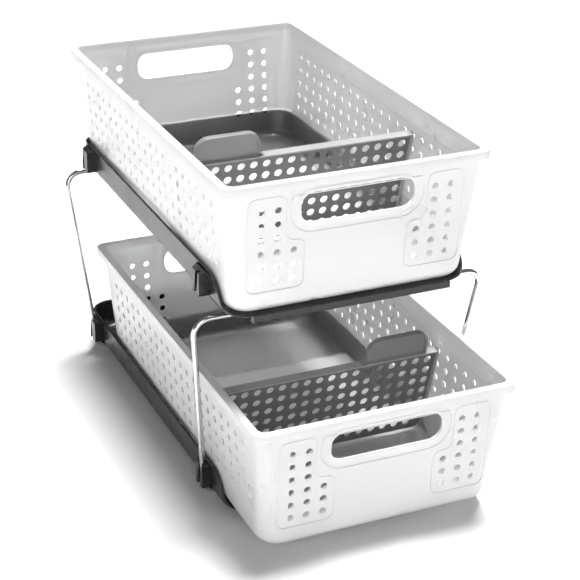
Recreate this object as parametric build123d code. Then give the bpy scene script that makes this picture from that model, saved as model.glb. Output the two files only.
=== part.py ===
"""Two-tier pull-out cabinet organizer: two identical drawer baskets on two identical
tray frames, stacked on two bent wire loops, with a lift-out divider in each basket.

Millimetres, +Z up, front at -Y. It stands on z = 0, centred on x = 0. The lower basket
is drawn out towards the front, and y = 0 is halfway between the drawn-out basket's front
and the other one's back.
"""
from build123d import *
from math import cos, radians
import os

# ---------------------------------------------------------------- driving dimensions
RIM_WIDTH = 231.5          # basket over its rim, side to side
RIM_DEPTH = 400.0          # basket over its rim, front to back
BASKET_HEIGHT = 113.5
BASKET_WALL = 2.0
RIM_OVERHANG = 5.2         # rim beyond the top of the wall
RIM_DROP = 8.0             # height of the rim's turned-down skirt
RIM_PLATE = 2.0
RIM_SKIRT = 1.6
RIM_EDGE = 1.0
SIDE_DRAFT = 7.1           # how far each side wall leans in, top to bottom
END_DRAFT = 8.6            # the same for the front and back walls
CORNER_RADIUS = 18.0       # basket walls, in plan
FLOOR_ROUND = 9.0          # where walls turn into the floor

SLOT_WIDTH = 98.0          # handle slot
SLOT_HEIGHT = 26.0
SLOT_BELOW_RIM = 27.0      # rim top down to the slot's middle
SLOT_ROUND = 11.0
LIP_WIDTH = 2.4            # raised lip round the slot
LIP_PROUD = 0.8

HOLE = 6.0                 # drain holes, across
END_COLUMNS = 3            # columns of holes on each side of the slot
END_COLUMN_PITCH = 14.25
END_COLUMN_INSET = 21.85   # outermost column to the side wall's foot
END_TOP_ROW = 25.9         # rim top down to the first row
END_ROW_PITCH = 12.0
END_ROW_FOOT = 24.0        # no row is lower than this above the basket's foot
SHORT_ROWS = 3             # the column next to the slot has only its lowest rows

TIER = 178.0               # from one tier to the next
DRAWN_OUT = 62.5           # lower basket, forward of the upper one

FRAME_FLOOR = 3.5
FRAME_WALL = 2.4
FRAME_GAP = 1.5            # basket wall to frame wall
FRAME_WALL_TOP = 25.5      # frame wall above the frame's floor
FRAME_ROUND = 10.0         # frame walls turn into the floor
LEDGE_WIDTH = 10.45        # floor left inside the basket's foot: at each side,
BACK_PANEL = 51.2          # at the back
FRONT_PANEL = 58.2         # and at the front
OPENING_ROUND = 14.0
SWEEP_START = 36.2         # the side walls begin to sweep down, inside the basket's front foot
SWEEP_END = 0.2
NOSE_DROP = 6.5            # rolled front edge, below the floor's upper face
NOSE_DEPTH = 5.0
NOSE_ROUND = 2.0
NOTCH_INSET = 13.45        # detent notches in the front edge, inside the basket's side
NOTCH_WIDTH = 5.0
NOTCH_DEPTH = 1.0

WIRE = 4.8
WIRE_BEND = 14.0
LEG_STANDOFF = 3.15        # wire's centre line, beyond the frame's foot
LEG_SPLAY = 19.0           # how far each leg leans out, foot to head
FRONT_HEAD_INSET = 19.2    # front wire's upper run, inside the basket's front foot
FRONT_FOOT_INSET = 49.2
BACK_HEAD_INSET = 7.7      # back wire's runs, inside the basket's back foot
BACK_FOOT_INSET = 29.2
WIRE_CLEARANCE = 0.3
GROOVE_RIB = 2.4
GROOVE_INSET = 11.45       # ribs end this far inside the basket's foot
GROOVE_ROOT = 1.0          # ribs start this far below the floor's upper face

CLIP_PROUD = 9.0           # clip beyond the frame's wall
CLIP_BLOCK = 10.0          # solid prong in front of the wire
CLIP_GUSSET = 17.0         # tapering prong behind it
CLIP_HEIGHT = 20.0
CLIP_BELOW_TOP = 1.5

DIVIDER_BELOW_RIM = 24.0   # rim top down to the divider's top flange
DIVIDER_FORWARD = 78.75    # its top flange, in front of the basket's middle
DIVIDER_LEAN = 11.5        # degrees, foot towards the back
DIVIDER_FOOT_GAP = 3.0     # above the basket's floor
DIVIDER_END_GAP = 1.5      # divider end to basket wall, bridged by the end tabs
DIVIDER_PANEL = 2.0
DIVIDER_FLANGE = 8.0
DIVIDER_RIB = 1.5          # thickness of that flange
DIVIDER_ROUND = 8.0
DIVIDER_HOLE = 6.6
DIVIDER_COLUMN_PITCH = 11.4
DIVIDER_ROW_PITCH = 11.3
DIVIDER_TOP_ROW = 9.5      # flange top down to the first row
DIVIDER_LAST_ROW = 6.0     # no row is nearer to the foot than this
GRIP_WIDTH = 57.0
GRIP_HEIGHT = 23.0
GRIP_FROM_END = 12.0
GRIP_ROUND = 12.0
GRIP_RIM = 2.0
GRIP_RIM_DEPTH = 5.0
END_TAB_HEIGHT = 6.0
END_TAB_DEPTH = 4.0
END_TAB_GAP = 0.3

# ---------------------------------------------------------------- worked out from them
FLOOR_Z = WIRE + FRAME_FLOOR                   # upper face of a frame's floor
WALL_TOP_X = RIM_WIDTH / 2 - RIM_OVERHANG
WALL_TOP_Y = RIM_DEPTH / 2 - RIM_OVERHANG
WALL_FOOT_X = WALL_TOP_X - SIDE_DRAFT
WALL_FOOT_Y = WALL_TOP_Y - END_DRAFT
SIDE_SLOPE = SIDE_DRAFT / BASKET_HEIGHT
END_SLOPE = END_DRAFT / BASKET_HEIGHT
END_ROWS = int((BASKET_HEIGHT - END_ROW_FOOT - END_TOP_ROW) / END_ROW_PITCH) + 1
RUN_Z = WIRE / 2                               # centre of a wire's foot run
LEG_FOOT_X = WALL_FOOT_X + FRAME_GAP + FRAME_WALL + LEG_STANDOFF
LEG_TOP_X = LEG_FOOT_X + LEG_SPLAY
FRONT_WIRE = (FRONT_HEAD_INSET - WALL_FOOT_Y, FRONT_FOOT_INSET - WALL_FOOT_Y)
BACK_WIRE = (WALL_FOOT_Y - BACK_HEAD_INSET, WALL_FOOT_Y - BACK_FOOT_INSET)
LEAN_COS = cos(radians(DIVIDER_LEAN))
DIVIDER_DROP = BASKET_HEIGHT - DIVIDER_BELOW_RIM - BASKET_WALL - DIVIDER_FOOT_GAP
DIVIDER_DEPTH = DIVIDER_DROP / LEAN_COS
DIVIDER_ROWS = int((DIVIDER_DEPTH - DIVIDER_LAST_ROW - DIVIDER_TOP_ROW) / DIVIDER_ROW_PITCH) + 1


def rounded(half_x, half_y, z, radius):
    """Rounded rectangle, centred on the axis, at height z."""
    return Plane.XY.offset(z) * RectangleRounded(2 * half_x, 2 * half_y, radius)


def tub(half_x, half_y, height, floor_round, radius, base=0.0):
    """Solid with the walls' lean and a rounded foot; half sizes are those of its foot."""
    top = base + height
    foot = rounded(half_x, half_y, base, radius)
    head = rounded(half_x + SIDE_SLOPE * height, half_y + END_SLOPE * height, top, radius)
    body = loft([foot, head], ruled=True)
    return fillet(body.faces().sort_by(Axis.Z)[0].edges(), floor_round)


# ---------------------------------------------------------------- basket
def end_wall_plane(side):
    """Plane on the outer face of the front (-1) or back (+1) wall, origin at rim height."""
    origin = (0, side * WALL_TOP_Y, BASKET_HEIGHT)
    return Plane(origin, x_dir=(-side, 0, 0), z_dir=(0, side, -END_SLOPE))


def end_wall_holes():
    """Centres of the drain holes on one end wall, seen from outside."""
    centres = []
    for column in range(END_COLUMNS):
        x = WALL_FOOT_X - END_COLUMN_INSET - column * END_COLUMN_PITCH
        first = END_ROWS - SHORT_ROWS if x < SLOT_WIDTH / 2 + HOLE else 0
        for row in range(first, END_ROWS):
            for mirror in (-1, 1):
                centres.append((mirror * x, -(END_TOP_ROW + row * END_ROW_PITCH)))
    return centres


def basket_rim():
    """Flat rim with its skirt turned down all round."""
    corner = CORNER_RADIUS + RIM_OVERHANG
    drop = BASKET_HEIGHT - RIM_DROP
    outside = extrude(rounded(RIM_WIDTH / 2, RIM_DEPTH / 2, drop, corner), RIM_DROP)
    outside = chamfer(outside.faces().sort_by(Axis.Z)[-1].outer_wire().edges(), RIM_EDGE)
    inner_x = RIM_WIDTH / 2 - RIM_SKIRT
    inner_y = RIM_DEPTH / 2 - RIM_SKIRT
    hollow = extrude(rounded(inner_x, inner_y, drop, corner - RIM_SKIRT), RIM_DROP - RIM_PLATE)
    return outside - hollow


def basket():
    """One drawer basket, its foot on z = 0."""
    outer = tub(WALL_FOOT_X, WALL_FOOT_Y, BASKET_HEIGHT, FLOOR_ROUND, CORNER_RADIUS)
    inner_height = BASKET_HEIGHT - BASKET_WALL
    inner = tub(
        WALL_FOOT_X - BASKET_WALL + SIDE_SLOPE * BASKET_WALL,
        WALL_FOOT_Y - BASKET_WALL + END_SLOPE * BASKET_WALL,
        inner_height + 1,
        FLOOR_ROUND - BASKET_WALL,
        CORNER_RADIUS - BASKET_WALL,
        base=BASKET_WALL,
    )
    body = outer + basket_rim() - inner
    for side in (-1, 1):
        wall = end_wall_plane(side)
        slot_centre = Location((0, -SLOT_BELOW_RIM, 0))
        lip = RectangleRounded(
            SLOT_WIDTH + 2 * LIP_WIDTH, SLOT_HEIGHT + 2 * LIP_WIDTH, SLOT_ROUND + LIP_WIDTH
        )
        slot = RectangleRounded(SLOT_WIDTH, SLOT_HEIGHT, SLOT_ROUND)
        body += extrude(wall * slot_centre * lip, LIP_PROUD)
        body -= extrude(wall * slot_centre * slot, 2 * BASKET_WALL, both=True)
        holes = Sketch() + [
            Pos(*centre) * RegularPolygon(HOLE / 2, 6) for centre in end_wall_holes()
        ]
        body -= extrude(wall * holes, 2 * BASKET_WALL, both=True)
    return body


# ---------------------------------------------------------------- divider
def wall_from_middle(below_top):
    """Middle of the basket to its side wall, at a depth down the leaning divider's face."""
    drop = DIVIDER_BELOW_RIM + below_top * LEAN_COS
    return WALL_TOP_X - BASKET_WALL - SIDE_SLOPE * drop


def divider_holes(half_foot):
    """Grid of holes, origin at the middle of the divider's top edge."""
    reach = half_foot - DIVIDER_RIB - DIVIDER_HOLE / 4
    columns = 2 * int(reach / DIVIDER_COLUMN_PITCH + 0.5)
    span = (DIVIDER_ROWS - 1) * DIVIDER_ROW_PITCH
    grid = GridLocations(DIVIDER_COLUMN_PITCH, DIVIDER_ROW_PITCH, columns, DIVIDER_ROWS)
    return Pos(0, -DIVIDER_TOP_ROW - span / 2) * grid * RegularPolygon(DIVIDER_HOLE / 2, 6)


def end_tabs():
    """Tabs that bear on the basket's side walls, level with the top flange."""
    tabs = Sketch()
    for side in (-1, 1):
        root = side * (wall_from_middle(DIVIDER_DEPTH) - DIVIDER_END_GAP - DIVIDER_RIB)
        head = side * (wall_from_middle(0) - END_TAB_GAP)
        foot = side * (wall_from_middle(END_TAB_HEIGHT) - END_TAB_GAP)
        tabs += Polygon(
            (root, 0), (head, 0), (foot, -END_TAB_HEIGHT), (root, -DIVIDER_RIB), align=None
        )
    return tabs


def divider():
    """Divider in the plane y = 0, grip near its -X end, top flange on z = 0."""
    upright = Plane.XZ
    head = wall_from_middle(0) - DIVIDER_END_GAP
    foot = wall_from_middle(DIVIDER_DEPTH) - DIVIDER_END_GAP
    outline = Polygon(
        (-head, 0), (head, 0), (foot, -DIVIDER_DEPTH), (-foot, -DIVIDER_DEPTH), align=None
    )
    outline = fillet(outline.vertices().group_by(Axis.Y)[0], DIVIDER_ROUND)
    body = extrude(upright * (outline - divider_holes(foot)), DIVIDER_PANEL / 2, both=True)

    # flange round the top and the two ends, left open along the foot
    window = offset(outline, -DIVIDER_RIB, kind=Kind.INTERSECTION)
    below = Pos(0, -DIVIDER_DEPTH) * Rectangle(4 * head, 2 * DIVIDER_ROUND)
    body += extrude(upright * (outline - window - below), DIVIDER_FLANGE / 2, both=True)
    body += extrude(upright * end_tabs(), END_TAB_DEPTH / 2, both=True)

    # grip: thin recessed face inside a deeper rounded rim
    grip_x = -head + GRIP_FROM_END + GRIP_WIDTH / 2
    plate = Pos(grip_x, GRIP_HEIGHT / 2) * Rectangle(GRIP_WIDTH, GRIP_HEIGHT)
    plate = fillet(plate.vertices().group_by(Axis.Y)[-1], GRIP_ROUND)
    face = offset(plate, -GRIP_RIM, kind=Kind.INTERSECTION)
    body += extrude(upright * plate, DIVIDER_PANEL / 2, both=True)
    body += extrude(upright * (plate - face), GRIP_RIM_DEPTH / 2, both=True)
    return body


# ---------------------------------------------------------------- wire loop
def leg_points(run_y, foot_y):
    """Corners of the wire's centre line, z measured from the foot run."""
    head = (LEG_TOP_X, run_y, TIER)
    foot = (LEG_FOOT_X, foot_y, 0)
    return head, foot


def wire_loop(run_y, foot_y):
    """Closed loop: run under the upper frame, splayed legs, run under the lower frame."""
    (head_x, head_y, head_z), (foot_x, foot_y, foot_z) = leg_points(run_y, foot_y)
    corners = [
        (-head_x, head_y, head_z),
        (head_x, head_y, head_z),
        (foot_x, foot_y, foot_z),
        (-foot_x, foot_y, foot_z),
    ]
    path = FilletPolyline(*corners, radius=WIRE_BEND, close=True)
    start = path.edges().sort_by(Axis.Z)[-1]
    section = Plane(start @ 0.5, z_dir=start % 0.5) * Circle(WIRE / 2)
    return Pos(0, 0, RUN_Z) * sweep(section, path=path)


# ---------------------------------------------------------------- tray frame
def side_sweep():
    """Region above the frame's side walls near the front, cut away in an S-curve."""
    rim = FRAME_WALL_TOP
    start = SWEEP_START - WALL_FOOT_Y
    end = SWEEP_END - WALL_FOOT_Y
    beyond = end - rim
    curve = Spline(
        (start, rim), ((start + end) / 2, rim / 2), (end, 0),
        tangents=((-1, -0.05), (-1, 0)),
    )
    outline = curve + Polyline(
        (end, 0), (beyond, 0), (beyond, 2 * rim), (start, 2 * rim), (start, rim)
    )
    profile = Plane.YZ * make_face(outline)
    return extrude(profile, RIM_WIDTH, both=True)


def leg_channel(side, run_y, foot_y, radius):
    """Slot along a wire's leg, open to the outside, z measured from the frame's floor."""
    head, foot = leg_points(run_y, foot_y)
    lean = Vector(side * (head[0] - foot[0]), head[1] - foot[1], head[2] - foot[2])
    origin = Vector(side * foot[0], foot[1], RUN_Z - FLOOR_Z)
    across = Plane(origin, x_dir=(side, 0, 0), z_dir=lean)
    shape = Circle(radius) + Pos(2 * CLIP_PROUD, 0) * Rectangle(4 * CLIP_PROUD, 2 * radius)
    return extrude(across * shape, 4 * CLIP_HEIGHT)


def clip(side, run_y, foot_y):
    """Block and gusset that hold a wire's leg against the outside of the frame."""
    wall = WALL_FOOT_X + FRAME_GAP
    proud = WALL_FOOT_X + FRAME_GAP + FRAME_WALL + CLIP_PROUD
    outline = Polygon(
        (wall, foot_y - CLIP_BLOCK),
        (proud, foot_y - CLIP_BLOCK),
        (proud, foot_y + WIRE),
        (wall, foot_y + CLIP_GUSSET),
        align=None,
    )
    top = FRAME_WALL_TOP - CLIP_BELOW_TOP
    block = extrude(Plane.XY.offset(top - CLIP_HEIGHT) * outline, CLIP_HEIGHT)
    block = block if side > 0 else mirror(block, about=Plane.YZ)
    return block - leg_channel(side, run_y, foot_y, WIRE / 2 + WIRE_CLEARANCE)


def wire_groove(y):
    """Two ribs under the floor with a wire's run between them."""
    spacing = WIRE + 2 * WIRE_CLEARANCE + GROOVE_RIB
    height = WIRE + FRAME_FLOOR - GROOVE_ROOT
    rib = Box(2 * (WALL_FOOT_X - GROOVE_INSET), GROOVE_RIB, height)
    return Pos(0, y, -GROOVE_ROOT - height / 2) * GridLocations(1, spacing, 1, 2) * rib


def nose(front_y, half_x):
    """Rolled front edge, rounded underneath, its outer face on the plane y = front_y."""
    outline = Pos(front_y + NOSE_DEPTH / 2, -NOSE_DROP / 2) * Rectangle(NOSE_DEPTH, NOSE_DROP)
    outline = fillet(outline.vertices().group_by(Axis.Y)[0], NOSE_ROUND)
    return extrude(Plane.YZ * outline, half_x, both=True)


def frame():
    """Tray frame that a basket slides in, its floor's upper face on z = 0."""
    inner_x = WALL_FOOT_X + FRAME_GAP
    inner_y = WALL_FOOT_Y + FRAME_GAP
    outer = tub(
        inner_x + FRAME_WALL - SIDE_SLOPE * FRAME_FLOOR,
        inner_y + FRAME_WALL - END_SLOPE * FRAME_FLOOR,
        FRAME_WALL_TOP + FRAME_FLOOR,
        FRAME_ROUND,
        CORNER_RADIUS + FRAME_GAP + FRAME_WALL,
        base=-FRAME_FLOOR,
    )
    inner = Pos(0, -DRAWN_OUT) * tub(
        inner_x,
        inner_y + DRAWN_OUT,
        FRAME_WALL_TOP + 1,
        FRAME_ROUND - FRAME_WALL,
        CORNER_RADIUS + FRAME_GAP,
    )
    body = outer - inner - side_sweep()
    body += nose(-inner_y - FRAME_WALL, inner_x - CORNER_RADIUS)
    opening = Pos(0, (FRONT_PANEL - BACK_PANEL) / 2) * RectangleRounded(
        2 * (WALL_FOOT_X - LEDGE_WIDTH), 2 * WALL_FOOT_Y - FRONT_PANEL - BACK_PANEL, OPENING_ROUND
    )
    body -= extrude(opening, 2 * FRAME_FLOOR, both=True)
    for run_y, foot_y in (FRONT_WIRE, BACK_WIRE):
        for side in (-1, 1):
            body += clip(side, run_y, foot_y) - inner
        for y in (run_y, foot_y):
            body += wire_groove(y)
    for side in (-1, 1):
        notch = Box(NOTCH_WIDTH, 2 * FRAME_WALL, 2 * NOTCH_DEPTH)
        body -= Pos(side * (WALL_FOOT_X - NOTCH_INSET), -inner_y - FRAME_WALL, 0) * notch
    return body


# ---------------------------------------------------------------- assembly
def write(name, shape):
    shape.label = name
    export_step(shape, os.path.join("parts", name + ".step"))


def main():
    os.makedirs("parts", exist_ok=True)
    drawer = basket()
    tray = frame()
    panel = divider()
    middle = DRAWN_OUT / 2
    tiers = {"lower": (FLOOR_Z, -middle, 180), "upper": (FLOOR_Z + TIER, middle, 0)}
    for tier, (z, basket_y, turn) in tiers.items():
        top = z + BASKET_HEIGHT - DIVIDER_BELOW_RIM
        write(tier + "_frame", Pos(0, middle, z) * tray)
        write(tier + "_basket", Pos(0, basket_y, z) * drawer)
        hung = Pos(0, basket_y - DIVIDER_FORWARD, top) * Rot(DIVIDER_LEAN, 0, turn)
        write(tier + "_divider", hung * panel)
    write("front_wire", Pos(0, middle, 0) * wire_loop(*FRONT_WIRE))
    write("back_wire", Pos(0, middle, 0) * wire_loop(*BACK_WIRE))


main()
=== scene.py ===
"""Looks of the two-tier pull-out organizer: frosted perforated baskets, grey dividers
and tray frames, chrome wire loops, on a white floor in soft studio light.

Sizes are in millimetres until a mesh is made; Blender's own units are metres.
"""
import math

import bmesh
import bpy
from mathutils import Matrix, Vector
from mathutils.geometry import delaunay_2d_cdt

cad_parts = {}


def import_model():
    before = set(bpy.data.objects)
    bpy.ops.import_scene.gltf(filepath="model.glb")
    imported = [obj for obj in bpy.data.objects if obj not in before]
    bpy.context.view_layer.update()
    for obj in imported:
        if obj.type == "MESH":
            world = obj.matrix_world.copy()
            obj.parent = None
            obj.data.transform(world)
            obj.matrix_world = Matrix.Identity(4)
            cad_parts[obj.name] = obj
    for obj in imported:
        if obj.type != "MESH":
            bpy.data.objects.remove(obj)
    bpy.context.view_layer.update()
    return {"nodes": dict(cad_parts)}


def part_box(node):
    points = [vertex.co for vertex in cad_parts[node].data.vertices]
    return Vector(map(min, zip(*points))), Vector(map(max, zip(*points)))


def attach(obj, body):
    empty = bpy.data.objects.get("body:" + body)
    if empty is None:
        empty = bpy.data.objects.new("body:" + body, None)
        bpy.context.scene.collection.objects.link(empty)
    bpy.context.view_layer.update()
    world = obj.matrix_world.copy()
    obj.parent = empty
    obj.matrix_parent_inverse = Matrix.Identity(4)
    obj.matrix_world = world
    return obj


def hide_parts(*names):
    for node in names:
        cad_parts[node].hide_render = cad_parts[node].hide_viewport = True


MM = 0.001
SHARP_ANGLE = math.radians(35)   # edges folded further than this stay crisp
WELD = 1e-3                # points nearer than this become one

# basket
WALL = 2.0
RIM_OVERHANG = 5.2
SIDE_DRAFT = 7.1
END_DRAFT = 8.6
CORNER_RADIUS = 20.0       # plan radius of the walls at the foot,
TOP_CORNER = 8.0           # at the rim
RIM_CORNER = 9.0           # and of the rim itself
FLOOR_ROUND = 9.0
RIM_DROP = 8.0
RIM_ROUND = 1.3
RIM_SKIRT = 1.6
SEAT_GAP = 0.05            # basket's foot above the frame's floor
HOLE = 6.0
SIDE_COLUMNS = 21
SIDE_COLUMN_PITCH = 15.75
SIDE_ROWS = 5
SIDE_ROW_PITCH = 12.3
SIDE_TOP_ROW = 27.0
END_COLUMNS = 3
END_COLUMN_PITCH = 14.25
END_COLUMN_INSET = 21.85
END_ROWS = 6
END_ROW_PITCH = 12.0
END_TOP_ROW = 25.9
SHORT_ROWS = 3             # rows of the column beside the slot's end
SLOT = (98.0, 26.0)
SLOT_BELOW_RIM = 27.0
SLOT_ROUND = 11.0
LIP_WIDTH = 2.4
LIP_PROUD = 0.8
BEAD = 0.5                 # radius of the raised lines
BEAD_SIDES = 8
BORDER_OUT = 8.5           # moulded line round the slot, beyond its edge
GROUP_NEAR = 60.5          # moulded line round a group of holes, from the wall's middle:
GROUP_FAR = 93.0
GROUP_LOW_NEAR = 44.0
GROUP_TOP = 14.0           # and below the rim
GROUP_STEP = 53.0
GROUP_FOOT = 95.0
GROUP_ROUND = 7.0
SIDE_GROUP_OUT = 1.4 * HOLE    # moulded line round a side wall's holes, beyond their middles
SIDE_GROUP_ROUND = 6.0
SIDE_BEAD = 0.7 * BEAD
ARC_STEPS = 6              # straight pieces in a corner,
HOLE_STEPS = 20            # in a hole,
GRIP_STEPS = 8             # and in a corner of a grip

# divider
DIVIDER_BELOW_RIM = 24.0
DIVIDER_LEAN = math.radians(11.5)
DIVIDER_FORWARD = 78.75
DIVIDER_FOOT_GAP = 3.0
DIVIDER_END_GAP = 1.5
DIVIDER_PANEL = 1.6
DIVIDER_FLANGE = 8.0
DIVIDER_RIB = 1.5
DIVIDER_ROUND = 8.0
DIVIDER_HOLE = 7.4
DIVIDER_COLUMNS = 18
DIVIDER_ROWS = 7
DIVIDER_COLUMN_PITCH = 11.4
DIVIDER_ROW_PITCH = 11.3
DIVIDER_TOP_ROW = 9.5
GRIP = (57.0, 23.0)
GRIP_FROM_END = 12.0
GRIP_ROUND = 12.0
GRIP_RIM = 2.0
GRIP_RIM_DEPTH = 5.0
GRIP_FLARE = 7.0           # hollow round at the grip's root, towards the middle
END_TAB = (6.0, 4.0)       # height, depth
END_TAB_GAP = 0.3
TOP_ROUND = 1e-3           # nearly sharp: the flange's top corners
ROOT_ROUND = 0.1           # and the grip's root
FLARE_OVERLAP = 1.0        # root's reach past the hollow round
EDGE_SOFTEN = 0.35

# the basket's plastic is clear up to a level that rises behind the divider, as shares
# of its depth and of its height
CLEAR_FROM = (0.3, 0.4)
CLEAR_LEVEL = (0.015, 0.22)
CLEAR_BLEND = 0.05
MILKY_FLOOR_TO = (0.72, 0.8)       # the floor is milky up to here,
MILKY_FLOOR_LEVEL = (0.03, -0.1)   # below this level
MILKY_FLOOR_BLEND = 0.02
CLEAR_TO_MILKY = (0.95, 0.32)      # transmission at the foot and above it
MILKY_FLOOR_SHARE = 0.35           # share of it left in the milky floor

NOISE_SPAN = (0.3, 0.7)            # noise values spread over a range of colour or sheen

# darkest and lightest colour, middle roughness, strength of the grain
FRAME_GREY = ((0.016, 0.016, 0.017), (0.026, 0.026, 0.027), 0.27, 0.08)
# the divider is one grey plastic in three copies: darkened on the plate as painted shade,
# lightened on the grip as painted light, lightest on the flange as a painted highlight on its top
PLATE_GREY_PAINTED_SHADE = ((0.15, 0.15, 0.152), (0.18, 0.18, 0.182), 0.42, 0.08)
GRIP_GREY_PAINTED_LIGHT = ((0.24, 0.24, 0.242), (0.28, 0.28, 0.282), 0.34, 0.06)
FLANGE_GREY_PAINTED_HIGHLIGHT = ((0.36, 0.36, 0.362), (0.42, 0.42, 0.422), 0.34, 0.06)
MILKY_WHITE = ((0.93, 0.935, 0.94), (0.99, 0.99, 0.99))
CHROME_GREY = ((0.6, 0.6, 0.62), (0.75, 0.75, 0.76))
FLOOR_WHITE = ((0.8, 0.8, 0.8), (0.84, 0.84, 0.84))

# studio
SKY_LIGHT = (2.7, 3.4)             # at the horizon and overhead
SKY_RISE = (0.05, 0.6)             # heights on the unit sphere between which it grows
SUN_TOWARD = (0.18, 0.15, 1.0)
SUN_STRENGTH = 5.8
SUN_SPREAD = math.radians(20)
FILL_PLACE = (-0.9, -1.4, 0.8)     # metres
FILL_AIM = (0, 0, 0.15)
FILL_SIZE = (1.0, 1.0)
FILL_POWER = 8
FLOOR_REACH = 30000

# photograph's camera
IMAGE = 580
FOCAL_PIXELS = 1680.335
SENSOR = 36.0
AZIMUTH = math.radians(-23.81)
ELEVATION = math.radians(25.1)
ROLL = math.radians(0.49)
DISTANCE = 1544.557
TARGET = (27.575, 31.25, 106.83)
CLIP = (0.05, 60)          # metres


# ---------------------------------------------------------------- plane outlines
def rounded_outline(corners, radii, steps=ARC_STEPS):
    """Closed outline through the corners, each turned with its own radius."""
    points = []
    count = len(corners)
    for i, corner in enumerate(corners):
        here = Vector(corner)
        to_last = (Vector(corners[i - 1]) - here).normalized()
        to_next = (Vector(corners[(i + 1) % count]) - here).normalized()
        half = to_last.angle(to_next) / 2
        reach = radii[i] / math.tan(half)
        if radii[i] == 0:
            points.append(here)
            continue
        start = here + to_last * reach
        end = here + to_next * reach
        centre = here + (to_last + to_next).normalized() * (radii[i] / math.sin(half))
        a, b = start - centre, end - centre
        turn = a.angle_signed(b)
        for step in range(steps + 1):
            spin = Matrix.Rotation(-turn * step / steps, 2)
            points.append(centre + spin @ a)
    return points


def rounded_box(width, height, radius, centre=(0, 0), steps=ARC_STEPS):
    x, y = centre
    corners = [
        (x - width / 2, y - height / 2),
        (x + width / 2, y - height / 2),
        (x + width / 2, y + height / 2),
        (x - width / 2, y + height / 2),
    ]
    return rounded_outline(corners, [radius] * 4, steps)


def circle(centre, diameter, steps=HOLE_STEPS):
    return [
        Vector(centre) + Vector((math.cos(a), math.sin(a))) * diameter / 2
        for a in (2 * math.pi * step / steps for step in range(steps))
    ]


def inside(point, outline):
    """Whether the point lies inside the closed outline."""
    x, y = point
    odd = False
    for a, b in zip(outline, outline[1:] + outline[:1]):
        if (a.y > y) != (b.y > y) and x < (b.x - a.x) * (y - a.y) / (b.y - a.y) + a.x:
            odd = not odd
    return odd


def holed_sheet(outline, holes):
    """Points and triangles of a plane sheet with holes cut in it."""
    points, edges = [], []
    for loop in [outline, *holes]:
        first = len(points)
        points += [Vector(p) for p in loop]
        edges += [(first + i, first + (i + 1) % len(loop)) for i in range(len(loop))]
    made = delaunay_2d_cdt(points, edges, [], 1, 1e-5)
    spots, faces = made[0], made[2]
    reach = [(sum(hole, Vector((0, 0))) / len(hole), hole) for hole in holes]
    spans = [max((p - middle).length for p in hole) for middle, hole in reach]
    kept = []
    for face in faces:
        centre = sum((spots[i] for i in face), Vector((0, 0))) / len(face)
        in_hole = any(
            (centre - middle).length < span and inside(centre, hole)
            for (middle, hole), span in zip(reach, spans)
        )
        if not in_hole:
            kept.append(tuple(face))
    return spots, kept


# ---------------------------------------------------------------- meshes
def add_sheet(bm, spots, faces, place):
    """Adds a plane sheet to bm, each point put in space by place(u, v)."""
    made = [bm.verts.new(place(p.x, p.y)) for p in spots]
    for face in faces:
        bm.faces.new([made[i] for i in face])


def add_wall(bm, loop, place, other_place):
    """Adds the wall of a hole between the two faces of a sheet."""
    rails = [[bm.verts.new(put(p.x, p.y)) for p in loop] for put in (place, other_place)]
    for i in range(len(loop)):
        j = (i + 1) % len(loop)
        bm.faces.new((rails[0][i], rails[0][j], rails[1][j], rails[1][i]))


def add_strip(bm, outer, inner, depth, place, closed):
    """Adds a bar of rectangular section between two outlines of as many points."""
    half = depth / 2
    rails = [
        [bm.verts.new(place(p.x, p.y, d)) for p in line]
        for line, d in ((outer, -half), (inner, -half), (inner, half), (outer, half))
    ]
    count = len(outer)
    for i in range(count if closed else count - 1):
        j = (i + 1) % count
        for a, b in zip(rails, rails[1:] + rails[:1]):
            bm.faces.new((a[i], a[j], b[j], b[i]))
    if not closed:
        bm.faces.new([rail[0] for rail in rails])
        bm.faces.new([rail[-1] for rail in rails][::-1])


def add_tube(bm, path, radius, sides=BEAD_SIDES, closed=True):
    """Adds a round bead along a path."""
    rings = []
    count = len(path)
    for i, point in enumerate(path):
        before, after = path[i - 1], path[(i + 1) % count]
        if not closed:
            before, after = path[max(i - 1, 0)], path[min(i + 1, count - 1)]
        ahead = (after - before).normalized()
        side = ahead.orthogonal().normalized()
        if rings:
            side = (last - ahead * last.dot(ahead)).normalized()
        last = side
        other = ahead.cross(side)
        rings.append([
            bm.verts.new(point + (side * math.cos(a) + other * math.sin(a)) * radius)
            for a in (2 * math.pi * k / sides for k in range(sides))
        ])
    for a, b in zip(rings, rings[1:] + (rings[:1] if closed else [])):
        for k in range(sides):
            n = (k + 1) % sides
            bm.faces.new((a[k], a[n], b[n], b[k]))
    if not closed:
        bm.faces.new(rings[0][::-1])
        bm.faces.new(rings[-1])


def make_object(name, bm, material, modifiers=()):
    """Object from bm with its modifiers applied and sharp edges kept crisp."""
    bmesh.ops.scale(bm, vec=(MM, MM, MM), verts=bm.verts)
    mesh = bpy.data.meshes.new(name)
    bm.to_mesh(mesh)
    bm.free()
    obj = bpy.data.objects.new(name, mesh)
    bpy.context.scene.collection.objects.link(obj)
    for kind, settings in modifiers:
        modifier = obj.modifiers.new(kind.title(), kind)
        for key, value in settings.items():
            setattr(modifier, key, value)
    if modifiers:
        shown = obj.evaluated_get(bpy.context.evaluated_depsgraph_get())
        obj.data = bpy.data.meshes.new_from_object(shown)
        obj.modifiers.clear()
    obj.data.name = name
    obj.data.materials.clear()
    obj.data.materials.append(material)
    obj.data.shade_smooth()
    obj.data.set_sharp_from_angle(angle=SHARP_ANGLE)
    return obj


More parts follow.
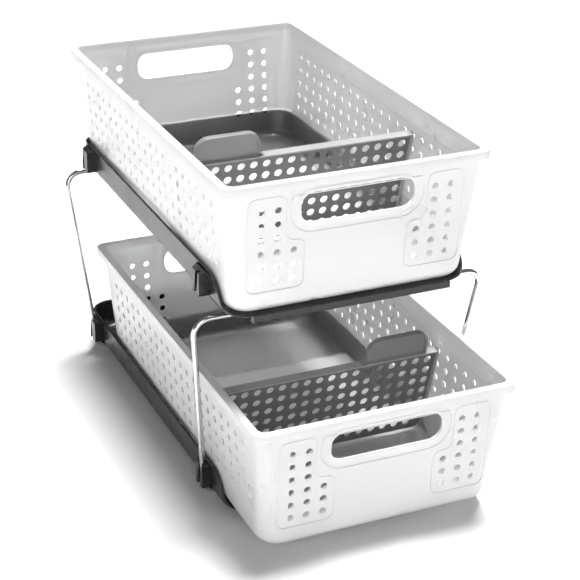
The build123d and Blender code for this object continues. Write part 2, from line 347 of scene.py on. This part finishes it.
# ---------------------------------------------------------------- basket
class Basket:
    """Shape of one basket, worked out from the box of its CAD node."""

    def __init__(self, node):
        low, high = (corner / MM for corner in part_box(node))
        self.node = node
        self.foot = low.z
        self.height = high.z - low.z
        self.middle = (low.y + high.y) / 2
        self.top_x = (high.x - low.x) / 2 - RIM_OVERHANG - WALL
        self.top_y = (high.y - low.y) / 2 - RIM_OVERHANG - WALL
        self.side_slope = SIDE_DRAFT / self.height
        self.end_slope = END_DRAFT / self.height

    def half_x(self, z):
        """Middle to the inner face of a side wall, z above the foot."""
        return self.top_x - self.side_slope * (self.height - z)

    def half_y(self, z):
        return self.top_y - self.end_slope * (self.height - z)

    def point(self, x, y, z):
        return Vector((x, self.middle + y, self.foot + z))

    def on_side(self, side, out=0.0):
        """Places (along, height) on the inner face of a side wall, moved outwards by out."""
        return lambda y, z: self.point(side * (self.half_x(z) + out), y, z)

    def on_end(self, side, out=0.0):
        """The same on the front or back wall, and round into its corners."""
        def place(x, z):
            radius = self.corner(0, z) + out
            past = max(abs(x) - (self.half_x(z) + out - radius), 0)
            drop = radius - math.sqrt(max(radius ** 2 - past ** 2, 0))
            return self.point(x, side * (self.half_y(z) + out - drop), z)
        return place

    def corner(self, out, z):
        """Plan radius of a corner at height z, out beyond the wall's inner face."""
        wall = CORNER_RADIUS - WALL - (CORNER_RADIUS - TOP_CORNER) * z / self.height
        if out <= WALL:
            return wall + out
        return wall + WALL + (RIM_CORNER - wall - WALL) * (out - WALL) / RIM_OVERHANG

    def ring(self, out, z, flat_x, flat_y):
        """Points round the basket at height z, out beyond the wall's inner face."""
        radius = self.corner(out, z)
        x = self.half_x(z) + out - radius
        y = self.half_y(z) + out - radius
        points = []
        for sx, sy, start in ((1, -1, -90), (1, 1, 0), (-1, 1, 90), (-1, -1, 180)):
            arc = []
            for step in range(ARC_STEPS + 1):
                a = math.radians(start + 90 * step / ARC_STEPS)
                arc.append((sx * x + radius * math.cos(a), sy * y + radius * math.sin(a)))
            on_end = (sx * flat_x, sy * (y + radius))
            on_side = (sx * (x + radius), sy * flat_y)
            ends = (on_end, on_side) if start in (-90, 90) else (on_side, on_end)
            points += [ends[0], *arc, ends[1]]
        return [self.point(px, py, z) for px, py in points]

    def side_holes(self):
        half = (SIDE_COLUMNS - 1) / 2
        top = self.height - SIDE_TOP_ROW
        return [
            circle(((column - half) * SIDE_COLUMN_PITCH, top - row * SIDE_ROW_PITCH), HOLE)
            for column in range(SIDE_COLUMNS)
            for row in range(SIDE_ROWS)
        ]

    def end_holes(self):
        foot_x = self.half_x(0) + WALL
        holes = []
        for column in range(END_COLUMNS):
            x = foot_x - END_COLUMN_INSET - column * END_COLUMN_PITCH
            first = END_ROWS - SHORT_ROWS if x < SLOT[0] / 2 + HOLE else 0
            for row in range(first, END_ROWS):
                z = self.height - END_TOP_ROW - row * END_ROW_PITCH
                holes += [circle((x, z), HOLE), circle((-x, z), HOLE)]
        return holes

    def slot(self, grown=0.0):
        width, height = SLOT[0] + 2 * grown, SLOT[1] + 2 * grown
        return rounded_box(width, height, SLOT_ROUND + grown, (0, self.height - SLOT_BELOW_RIM))

    def shell(self, material):
        """Thin moulded tub: floor, rounded foot, perforated walls, turned-over rim."""
        wall_foot = FLOOR_ROUND
        wall_top = self.height - WALL
        edge = RIM_OVERHANG + WALL
        turn = RIM_ROUND * (1 - math.sqrt(0.5))
        inner_foot = self.foot_round(0, WALL)
        outer_foot = self.foot_round(WALL, SEAT_GAP)
        skirt_foot = self.height - RIM_DROP
        rim = [
            (turn, self.height - turn), (RIM_ROUND, self.height), (edge - RIM_ROUND, self.height),
            (edge - turn, self.height - turn), (edge, self.height - RIM_ROUND),
            (edge, skirt_foot), (edge - RIM_SKIRT, skirt_foot), (edge - RIM_SKIRT, wall_top),
        ]
        profile = [*inner_foot, (0, wall_top), *rim, (WALL, wall_top), *reversed(outer_foot)]
        flat_x = self.half_x(0) - CORNER_RADIUS + WALL
        flat_y = self.half_y(0) - CORNER_RADIUS + WALL

        bm = bmesh.new()
        rings = [
            [bm.verts.new(p) for p in self.ring(out, z, flat_x, flat_y)] for out, z in profile
        ]
        count = len(rings[0])
        per_corner = count // 4
        for (_, low_z), (_, high_z), low, high in zip(profile, profile[1:], rings, rings[1:]):
            for i in range(count):
                on_panel = i % per_corner == per_corner - 1
                if on_panel and abs(high_z - low_z) > self.height / 2:
                    continue
                j = (i + 1) % count
                bm.faces.new((low[i], low[j], high[j], high[i]))
        bm.faces.new(rings[0])
        bm.faces.new(rings[-1])
        for side in (-1, 1):
            for flat, holes, place in (
                (flat_y, self.side_holes(), self.on_side),
                (flat_x, self.end_holes() + [self.slot()], self.on_end),
            ):
                foot_line = [(-flat, wall_foot), (flat, wall_foot)]
                top_line = [(flat, wall_top), (-flat, wall_top)]
                sheet = holed_sheet([Vector(c) for c in foot_line + top_line], holes)
                faces = (place(side), place(side, WALL))
                for face in faces:
                    add_sheet(bm, *sheet, face)
                for hole in holes:
                    add_wall(bm, hole, *faces)
        bmesh.ops.remove_doubles(bm, verts=bm.verts, dist=WELD)
        bmesh.ops.recalc_face_normals(bm, faces=bm.faces)
        return make_object(self.node + "_shell", bm, material)

    def foot_round(self, out, level):
        """Rounded foot of one face of the wall, from the floor's level up to the wall."""
        radius = FLOOR_ROUND - level
        angles = [math.radians(90 * step / ARC_STEPS) for step in range(ARC_STEPS + 1)]
        return [
            (out - radius * (1 - math.sin(a)), level + radius * (1 - math.cos(a))) for a in angles
        ]

    def hole_group(self):
        """Corners of the moulded line round one group of end wall holes."""
        top = self.height - GROUP_TOP
        foot = self.height - GROUP_FOOT
        step = self.height - GROUP_STEP
        return [
            (GROUP_FAR, foot), (GROUP_FAR, top), (GROUP_NEAR, top),
            (GROUP_NEAR, step), (GROUP_LOW_NEAR, step), (GROUP_LOW_NEAR, foot),
        ]

    def raised_lines(self, material):
        """Lip round each handle slot and thin moulded lines round the groups of holes."""
        bm = bmesh.new()
        slot_top = self.height - SLOT_BELOW_RIM + SLOT[1] / 2
        for side in (-1, 1):
            lip = holed_sheet(self.slot(LIP_WIDTH), [self.slot()])
            add_sheet(bm, *lip, self.on_end(side, WALL + LIP_PROUD))
            place = self.on_end(side, WALL)
            for mirror in (-1, 1):
                corners = [(mirror * x, z) for x, z in self.hole_group()]
                line = rounded_outline(corners, [GROUP_ROUND] * len(corners))
                add_tube(bm, [place(p.x, p.y) for p in line], BEAD)
            border = [p for p in self.slot(BORDER_OUT) if p.y < slot_top]
            start = border.index(min(border, key=lambda p: (p.x, -p.y)))
            border = border[start:] + border[:start]
            first, last = (Vector((p.x, self.height - RIM_DROP)) for p in (border[0], border[-1]))
            line = [first, *border, last]
            add_tube(bm, [place(p.x, p.y) for p in line], BEAD, closed=False)
            half = (SIDE_COLUMNS - 1) / 2 * SIDE_COLUMN_PITCH + SIDE_GROUP_OUT
            high = self.height - SIDE_TOP_ROW + SIDE_GROUP_OUT
            low = self.height - SIDE_TOP_ROW - (SIDE_ROWS - 1) * SIDE_ROW_PITCH - SIDE_GROUP_OUT
            corners = [(-half, low), (half, low), (half, high), (-half, high)]
            line = rounded_outline(corners, [SIDE_GROUP_ROUND] * len(corners))
            place = self.on_side(side)
            add_tube(bm, [place(p.x, p.y) for p in line], SIDE_BEAD)
        return make_object(self.node + "_raised_lines", bm, material)


# ---------------------------------------------------------------- divider
class Divider:
    """Leaning divider of one basket, hung level with the CAD node's."""

    def __init__(self, tier, turned):
        self.name = tier + "_divider"
        self.basket = Basket(tier + "_basket")
        self.turned = turned
        drop = self.basket.height - DIVIDER_BELOW_RIM - WALL - DIVIDER_FOOT_GAP
        self.depth = drop / math.cos(DIVIDER_LEAN)

    def wall(self, below_top):
        """Middle of the basket to its wall, at a depth down the divider's face."""
        return self.basket.half_x(
            self.basket.height - DIVIDER_BELOW_RIM - below_top * math.cos(DIVIDER_LEAN)
        )

    def place(self, x, up, out):
        """Point of the divider: along it, above its top flange, and out of its face."""
        if self.turned:
            x, out = -x, -out
        cos, sin = math.cos(DIVIDER_LEAN), math.sin(DIVIDER_LEAN)
        y = out * cos - up * sin - DIVIDER_FORWARD
        z = self.basket.height - DIVIDER_BELOW_RIM + up * cos + out * sin
        return self.basket.point(x, y, z)

    def flat(self, x, up):
        return self.place(x, up, 0)

    def outline(self, inset=0.0):
        head = self.wall(0) - DIVIDER_END_GAP - inset
        foot = self.wall(self.depth) - DIVIDER_END_GAP - inset
        low = inset - self.depth
        corners = [(-foot, low), (foot, low), (head, -inset), (-head, -inset)]
        turn = DIVIDER_ROUND - inset
        return rounded_outline(corners, [turn, turn, TOP_ROUND, TOP_ROUND])

    def holes(self):
        half = (DIVIDER_COLUMNS - 1) / 2
        across = [(column - half) * DIVIDER_COLUMN_PITCH for column in range(DIVIDER_COLUMNS)]
        down = [-DIVIDER_TOP_ROW - row * DIVIDER_ROW_PITCH for row in range(DIVIDER_ROWS)]
        return [circle((x, z), DIVIDER_HOLE) for x in across for z in down]

    def grip_outline(self, x, half, height, inset):
        """Grip seen from the front, drawn in by inset, its root flared towards the middle."""
        turn = GRIP_ROUND - inset
        root = -DIVIDER_RIB / 2
        flared = x + half + GRIP_FLARE + FLARE_OVERLAP
        left, right, top = x - half + inset, x + half - inset, height - inset
        corners = [
            (left, root), (flared, root), (flared, root / 2),
            (right, root / 2), (right, top), (left, top),
        ]
        radii = [ROOT_ROUND, ROOT_ROUND, ROOT_ROUND, GRIP_FLARE + inset, turn, turn]
        return rounded_outline(corners, radii, GRIP_STEPS)

    def panel(self, material):
        """Perforated plate, thin between its flanges."""
        bm = bmesh.new()
        edge = self.outline(DIVIDER_RIB / 2)
        holes = [hole for hole in self.holes() if all(inside(p, edge) for p in hole)]
        add_sheet(bm, *holed_sheet(edge, holes), self.flat)
        solid = ("SOLIDIFY", {"thickness": DIVIDER_PANEL * MM, "offset": 0})
        return make_object(self.name + "_plate", bm, material, [solid])

    def flange(self, material):
        """Flange round the top and the two ends, with the end tabs."""
        bm = bmesh.new()
        half = (ARC_STEPS + 1) // 2
        outer = self.outline()
        inner = self.outline(DIVIDER_RIB)
        order = list(range(ARC_STEPS + 1 + half, len(outer))) + list(range(half + 1))
        rails = [[line[i] for i in order] for line in (outer, inner)]
        add_strip(bm, *rails, DIVIDER_FLANGE, self.place, closed=False)
        head = self.wall(0) - DIVIDER_END_GAP
        for side in (-1, 1):
            root = side * (head - DIVIDER_RIB)
            tip = side * (self.wall(0) - END_TAB_GAP)
            low = side * (self.wall(END_TAB[0]) - END_TAB_GAP)
            upper = [Vector((root, 0)), Vector((tip, 0))]
            lower = [Vector((root, -END_TAB[0] / 2)), Vector((low, -END_TAB[0]))]
            add_strip(bm, upper, lower, END_TAB[1], self.place, closed=False)
        return self.finished("_flange", bm, material)

    def grip(self, material):
        """Grip near one end: thin face inside a deeper rounded rim."""
        bm = bmesh.new()
        width, height = GRIP
        x = -(self.wall(0) - DIVIDER_END_GAP) + GRIP_FROM_END + width / 2
        rim = self.grip_outline(x, width / 2, height, 0.0)
        face = self.grip_outline(x, width / 2, height, GRIP_RIM)
        add_strip(bm, rim, face, GRIP_RIM_DEPTH, self.place, closed=True)
        middle = [p.lerp(q, 0.5) for p, q in zip(rim, face)]
        for out in (-DIVIDER_PANEL / 2, DIVIDER_PANEL / 2):
            loop = [bm.verts.new(self.place(p.x, p.y, out)) for p in middle]
            bm.faces.new(loop)
        return self.finished("_grip", bm, material)

    def finished(self, ending, bm, material):
        """Object of closed bars with their edges softened."""
        bmesh.ops.recalc_face_normals(bm, faces=bm.faces)
        soften = ("BEVEL", {"width": EDGE_SOFTEN * MM, "segments": 2, "limit_method": "ANGLE"})
        return make_object(self.name + ending, bm, material, [soften])


# ---------------------------------------------------------------- materials
def principled(name):
    material = bpy.data.materials.new(name)
    material.use_nodes = True
    return material, material.node_tree, material.node_tree.nodes["Principled BSDF"]


def add_node(tree, kind, **settings):
    node = tree.nodes.new(kind)
    for key, value in settings.items():
        setattr(node, key, value)
    return node


def noise(tree, scale, detail=3.0):
    """Noise in the piece's own space, scale in cells per metre."""
    place = add_node(tree, "ShaderNodeTexCoord")
    cells = add_node(tree, "ShaderNodeTexNoise")
    cells.inputs["Scale"].default_value = scale
    cells.inputs["Detail"].default_value = detail
    tree.links.new(place.outputs["Object"], cells.inputs["Vector"])
    return cells.outputs["Fac"]


def spread(tree, value, low, high):
    """Maps noise round its middle to the range low to high."""
    change = add_node(tree, "ShaderNodeMapRange")
    change.inputs["From Min"].default_value, change.inputs["From Max"].default_value = NOISE_SPAN
    change.inputs["To Min"].default_value = low
    change.inputs["To Max"].default_value = high
    tree.links.new(value, change.inputs["Value"])
    return change.outputs["Result"]


def remap(tree, value, source, target):
    """Maps value from the source range to the target range with a soft start and end."""
    change = add_node(tree, "ShaderNodeMapRange", interpolation_type="SMOOTHSTEP")
    change.inputs["From Min"].default_value, change.inputs["From Max"].default_value = source
    change.inputs["To Min"].default_value, change.inputs["To Max"].default_value = target
    tree.links.new(value, change.inputs["Value"])
    return change.outputs["Result"]


def combine(tree, operation, first, second):
    made = add_node(tree, "ShaderNodeMath", operation=operation)
    tree.links.new(first, made.inputs[0])
    tree.links.new(second, made.inputs[1])
    return made.outputs["Value"]


def tint(tree, value, dark, light):
    ramp = add_node(tree, "ShaderNodeValToRGB")
    stops = ramp.color_ramp.elements
    for stop, position, color in zip(stops, NOISE_SPAN, (dark, light)):
        stop.position = position
        stop.color = (*color, 1)
    tree.links.new(value, ramp.inputs["Fac"])
    return ramp.outputs["Color"]


def bump(tree, value, strength, distance):
    made = add_node(tree, "ShaderNodeBump")
    made.inputs["Strength"].default_value = strength
    made.inputs["Distance"].default_value = distance
    tree.links.new(value, made.inputs["Height"])
    return made.outputs["Normal"]


def frosted_plastic():
    """Milky polypropylene: light comes through blurred, fine pebbled grain, soft gloss.

    The foot of the walls and the floor's back end are polished and clearer than the rest.
    """
    material, tree, shader = principled("frosted_basket")
    shader.inputs["IOR"].default_value = 1.35
    place = add_node(tree, "ShaderNodeTexCoord")
    split = add_node(tree, "ShaderNodeSeparateXYZ")
    tree.links.new(place.outputs["Generated"], split.inputs["Vector"])
    depth, rise = split.outputs["Y"], split.outputs["Z"]
    foot_level = remap(tree, depth, CLEAR_FROM, CLEAR_LEVEL)
    above_foot = combine(tree, "SUBTRACT", rise, foot_level)
    foot = remap(tree, above_foot, (0, CLEAR_BLEND), CLEAR_TO_MILKY)
    floor_level = remap(tree, depth, MILKY_FLOOR_TO, MILKY_FLOOR_LEVEL)
    above_floor = combine(tree, "SUBTRACT", rise, floor_level)
    floor = remap(tree, above_floor, (0, MILKY_FLOOR_BLEND), (MILKY_FLOOR_SHARE, 1))
    tree.links.new(combine(tree, "MULTIPLY", foot, floor), shader.inputs["Transmission Weight"])
    shader.inputs["Coat Weight"].default_value = 0.3
    shader.inputs["Coat Roughness"].default_value = 0.1
    cloud = noise(tree, 14)
    grain = noise(tree, 420, 1.0)
    tree.links.new(tint(tree, cloud, *MILKY_WHITE), shader.inputs["Base Color"])
    tree.links.new(spread(tree, cloud, 0.26, 0.36), shader.inputs["Roughness"])
    tree.links.new(bump(tree, grain, 0.08, 0.0002), shader.inputs["Normal"])
    return material


def satin_plastic(name, dark, light, roughness, grain_strength):
    """Moulded plastic with an even fine texture and slightly uneven sheen."""
    material, tree, shader = principled(name)
    shader.inputs["Specular IOR Level"].default_value = 0.5
    cloud = noise(tree, 22)
    grain = noise(tree, 500, 1.0)
    tree.links.new(tint(tree, cloud, dark, light), shader.inputs["Base Color"])
    sheen = spread(tree, cloud, roughness - 0.05, roughness + 0.07)
    tree.links.new(sheen, shader.inputs["Roughness"])
    tree.links.new(bump(tree, grain, grain_strength, 0.0001), shader.inputs["Normal"])
    return material


def chrome():
    """Bright plated steel with a faintly uneven sheen."""
    material, tree, shader = principled("chrome_wire")
    shader.inputs["Metallic"].default_value = 1.0
    cloud = noise(tree, 60)
    # dark tint at grazing angles: painted dark reflections along the wire's edges
    shader.inputs["Specular Tint"].default_value = (0.12, 0.12, 0.13, 1)
    tree.links.new(tint(tree, cloud, *CHROME_GREY), shader.inputs["Base Color"])
    tree.links.new(spread(tree, cloud, 0.06, 0.14), shader.inputs["Roughness"])
    return material


def floor_material():
    material, tree, shader = principled("studio_floor")
    cloud = noise(tree, 3)
    tree.links.new(tint(tree, cloud, *FLOOR_WHITE), shader.inputs["Base Color"])
    shader.inputs["Roughness"].default_value = 0.6
    shader.inputs["Specular IOR Level"].default_value = 0.2
    return material


# ---------------------------------------------------------------- studio
def add_camera():
    data = bpy.data.cameras.new("camera")
    data.sensor_width = SENSOR
    data.lens = FOCAL_PIXELS * SENSOR / IMAGE
    data.clip_start, data.clip_end = CLIP
    camera = bpy.data.objects.new("camera", data)
    bpy.context.scene.collection.objects.link(camera)
    away = Vector((
        math.sin(AZIMUTH) * math.cos(ELEVATION),
        -math.cos(AZIMUTH) * math.cos(ELEVATION),
        math.sin(ELEVATION),
    ))
    camera.location = (Vector(TARGET) + away * DISTANCE) * MM
    look = (-away).to_track_quat("-Z", "Y")
    camera.rotation_mode = "QUATERNION"
    camera.rotation_quaternion = look @ Matrix.Rotation(ROLL, 3, "Z").to_quaternion()
    bpy.context.scene.camera = camera


def add_light(name, place, aim, size, power):
    data = bpy.data.lights.new(name, "AREA")
    data.shape = "RECTANGLE"
    data.size, data.size_y = size
    data.energy = power
    light = bpy.data.objects.new(name, data)
    bpy.context.scene.collection.objects.link(light)
    light.location = place
    light.rotation_euler = (Vector(aim) - Vector(place)).to_track_quat("-Z", "Y").to_euler()
    light.visible_camera = False


def add_world(horizon, zenith):
    """Sky of plain light, brighter overhead, in strengths of the default dark grey."""
    world = bpy.data.worlds.new("studio")
    world.use_nodes = True
    tree = world.node_tree
    way = add_node(tree, "ShaderNodeTexCoord")
    split = add_node(tree, "ShaderNodeSeparateXYZ")
    tree.links.new(way.outputs["Generated"], split.inputs["Vector"])
    light = remap(tree, split.outputs["Z"], SKY_RISE, (horizon, zenith))
    tree.links.new(light, tree.nodes["Background"].inputs["Strength"])
    bpy.context.scene.world = world


def add_sun(toward, strength, angle):
    """Far soft light that keeps the floor even, coming from the direction toward."""
    data = bpy.data.lights.new("sun", "SUN")
    data.energy = strength
    data.angle = angle
    sun = bpy.data.objects.new("sun", data)
    bpy.context.scene.collection.objects.link(sun)
    sun.rotation_euler = (-Vector(toward)).to_track_quat("-Z", "Y").to_euler()


def add_floor(material):
    bm = bmesh.new()
    bmesh.ops.create_grid(bm, x_segments=8, y_segments=8, size=FLOOR_REACH)
    floor = make_object("studio_floor", bm, material)


# ---------------------------------------------------------------- the part
def main():
    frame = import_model()
    frosted = frosted_plastic()
    finishes = {
        "frame": satin_plastic("frame_grey", *FRAME_GREY),
        # copies of the divider's one grey: painted shade on the plate, painted light on the grip,
        # painted highlight on the flange
        "plate": satin_plastic("divider_grey", *PLATE_GREY_PAINTED_SHADE),
        "grip": satin_plastic("divider_grip_painted_light", *GRIP_GREY_PAINTED_LIGHT),
        "flange": satin_plastic("divider_flange_painted_highlight", *FLANGE_GREY_PAINTED_HIGHLIGHT),
        "wire": chrome(),
    }
    for tier in ("lower", "upper"):
        basket = Basket(tier + "_basket")
        shell = basket.shell(frosted)
        lines = basket.raised_lines(frosted)
        for piece in (shell, lines):
            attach(piece, tier + "_drawer")
            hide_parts(tier + "_basket")
        divider = Divider(tier, turned=tier == "lower")
        # each piece of the divider takes its own lit or shaded copy of the grey: painted shade
        # and painted light
        for piece in (
            divider.panel(finishes["plate"]),
            divider.flange(finishes["flange"]),
            divider.grip(finishes["grip"]),
        ):
            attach(piece, tier + "_partition")
            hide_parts(tier + "_divider")
    for node, finish in (
        ("lower_frame", "frame"), ("upper_frame", "frame"),
        ("front_wire", "wire"), ("back_wire", "wire"),
    ):
        mesh = frame["nodes"][node].data
        mesh.materials.clear()
        mesh.materials.append(finishes[finish])

    scene = bpy.context.scene
    scene.view_settings.view_transform = "Standard"
    add_camera()
    add_world(*SKY_LIGHT)
    add_sun(SUN_TOWARD, SUN_STRENGTH, SUN_SPREAD)
    add_light("fill", FILL_PLACE, FILL_AIM, FILL_SIZE, FILL_POWER)
    add_floor(floor_material())


main()
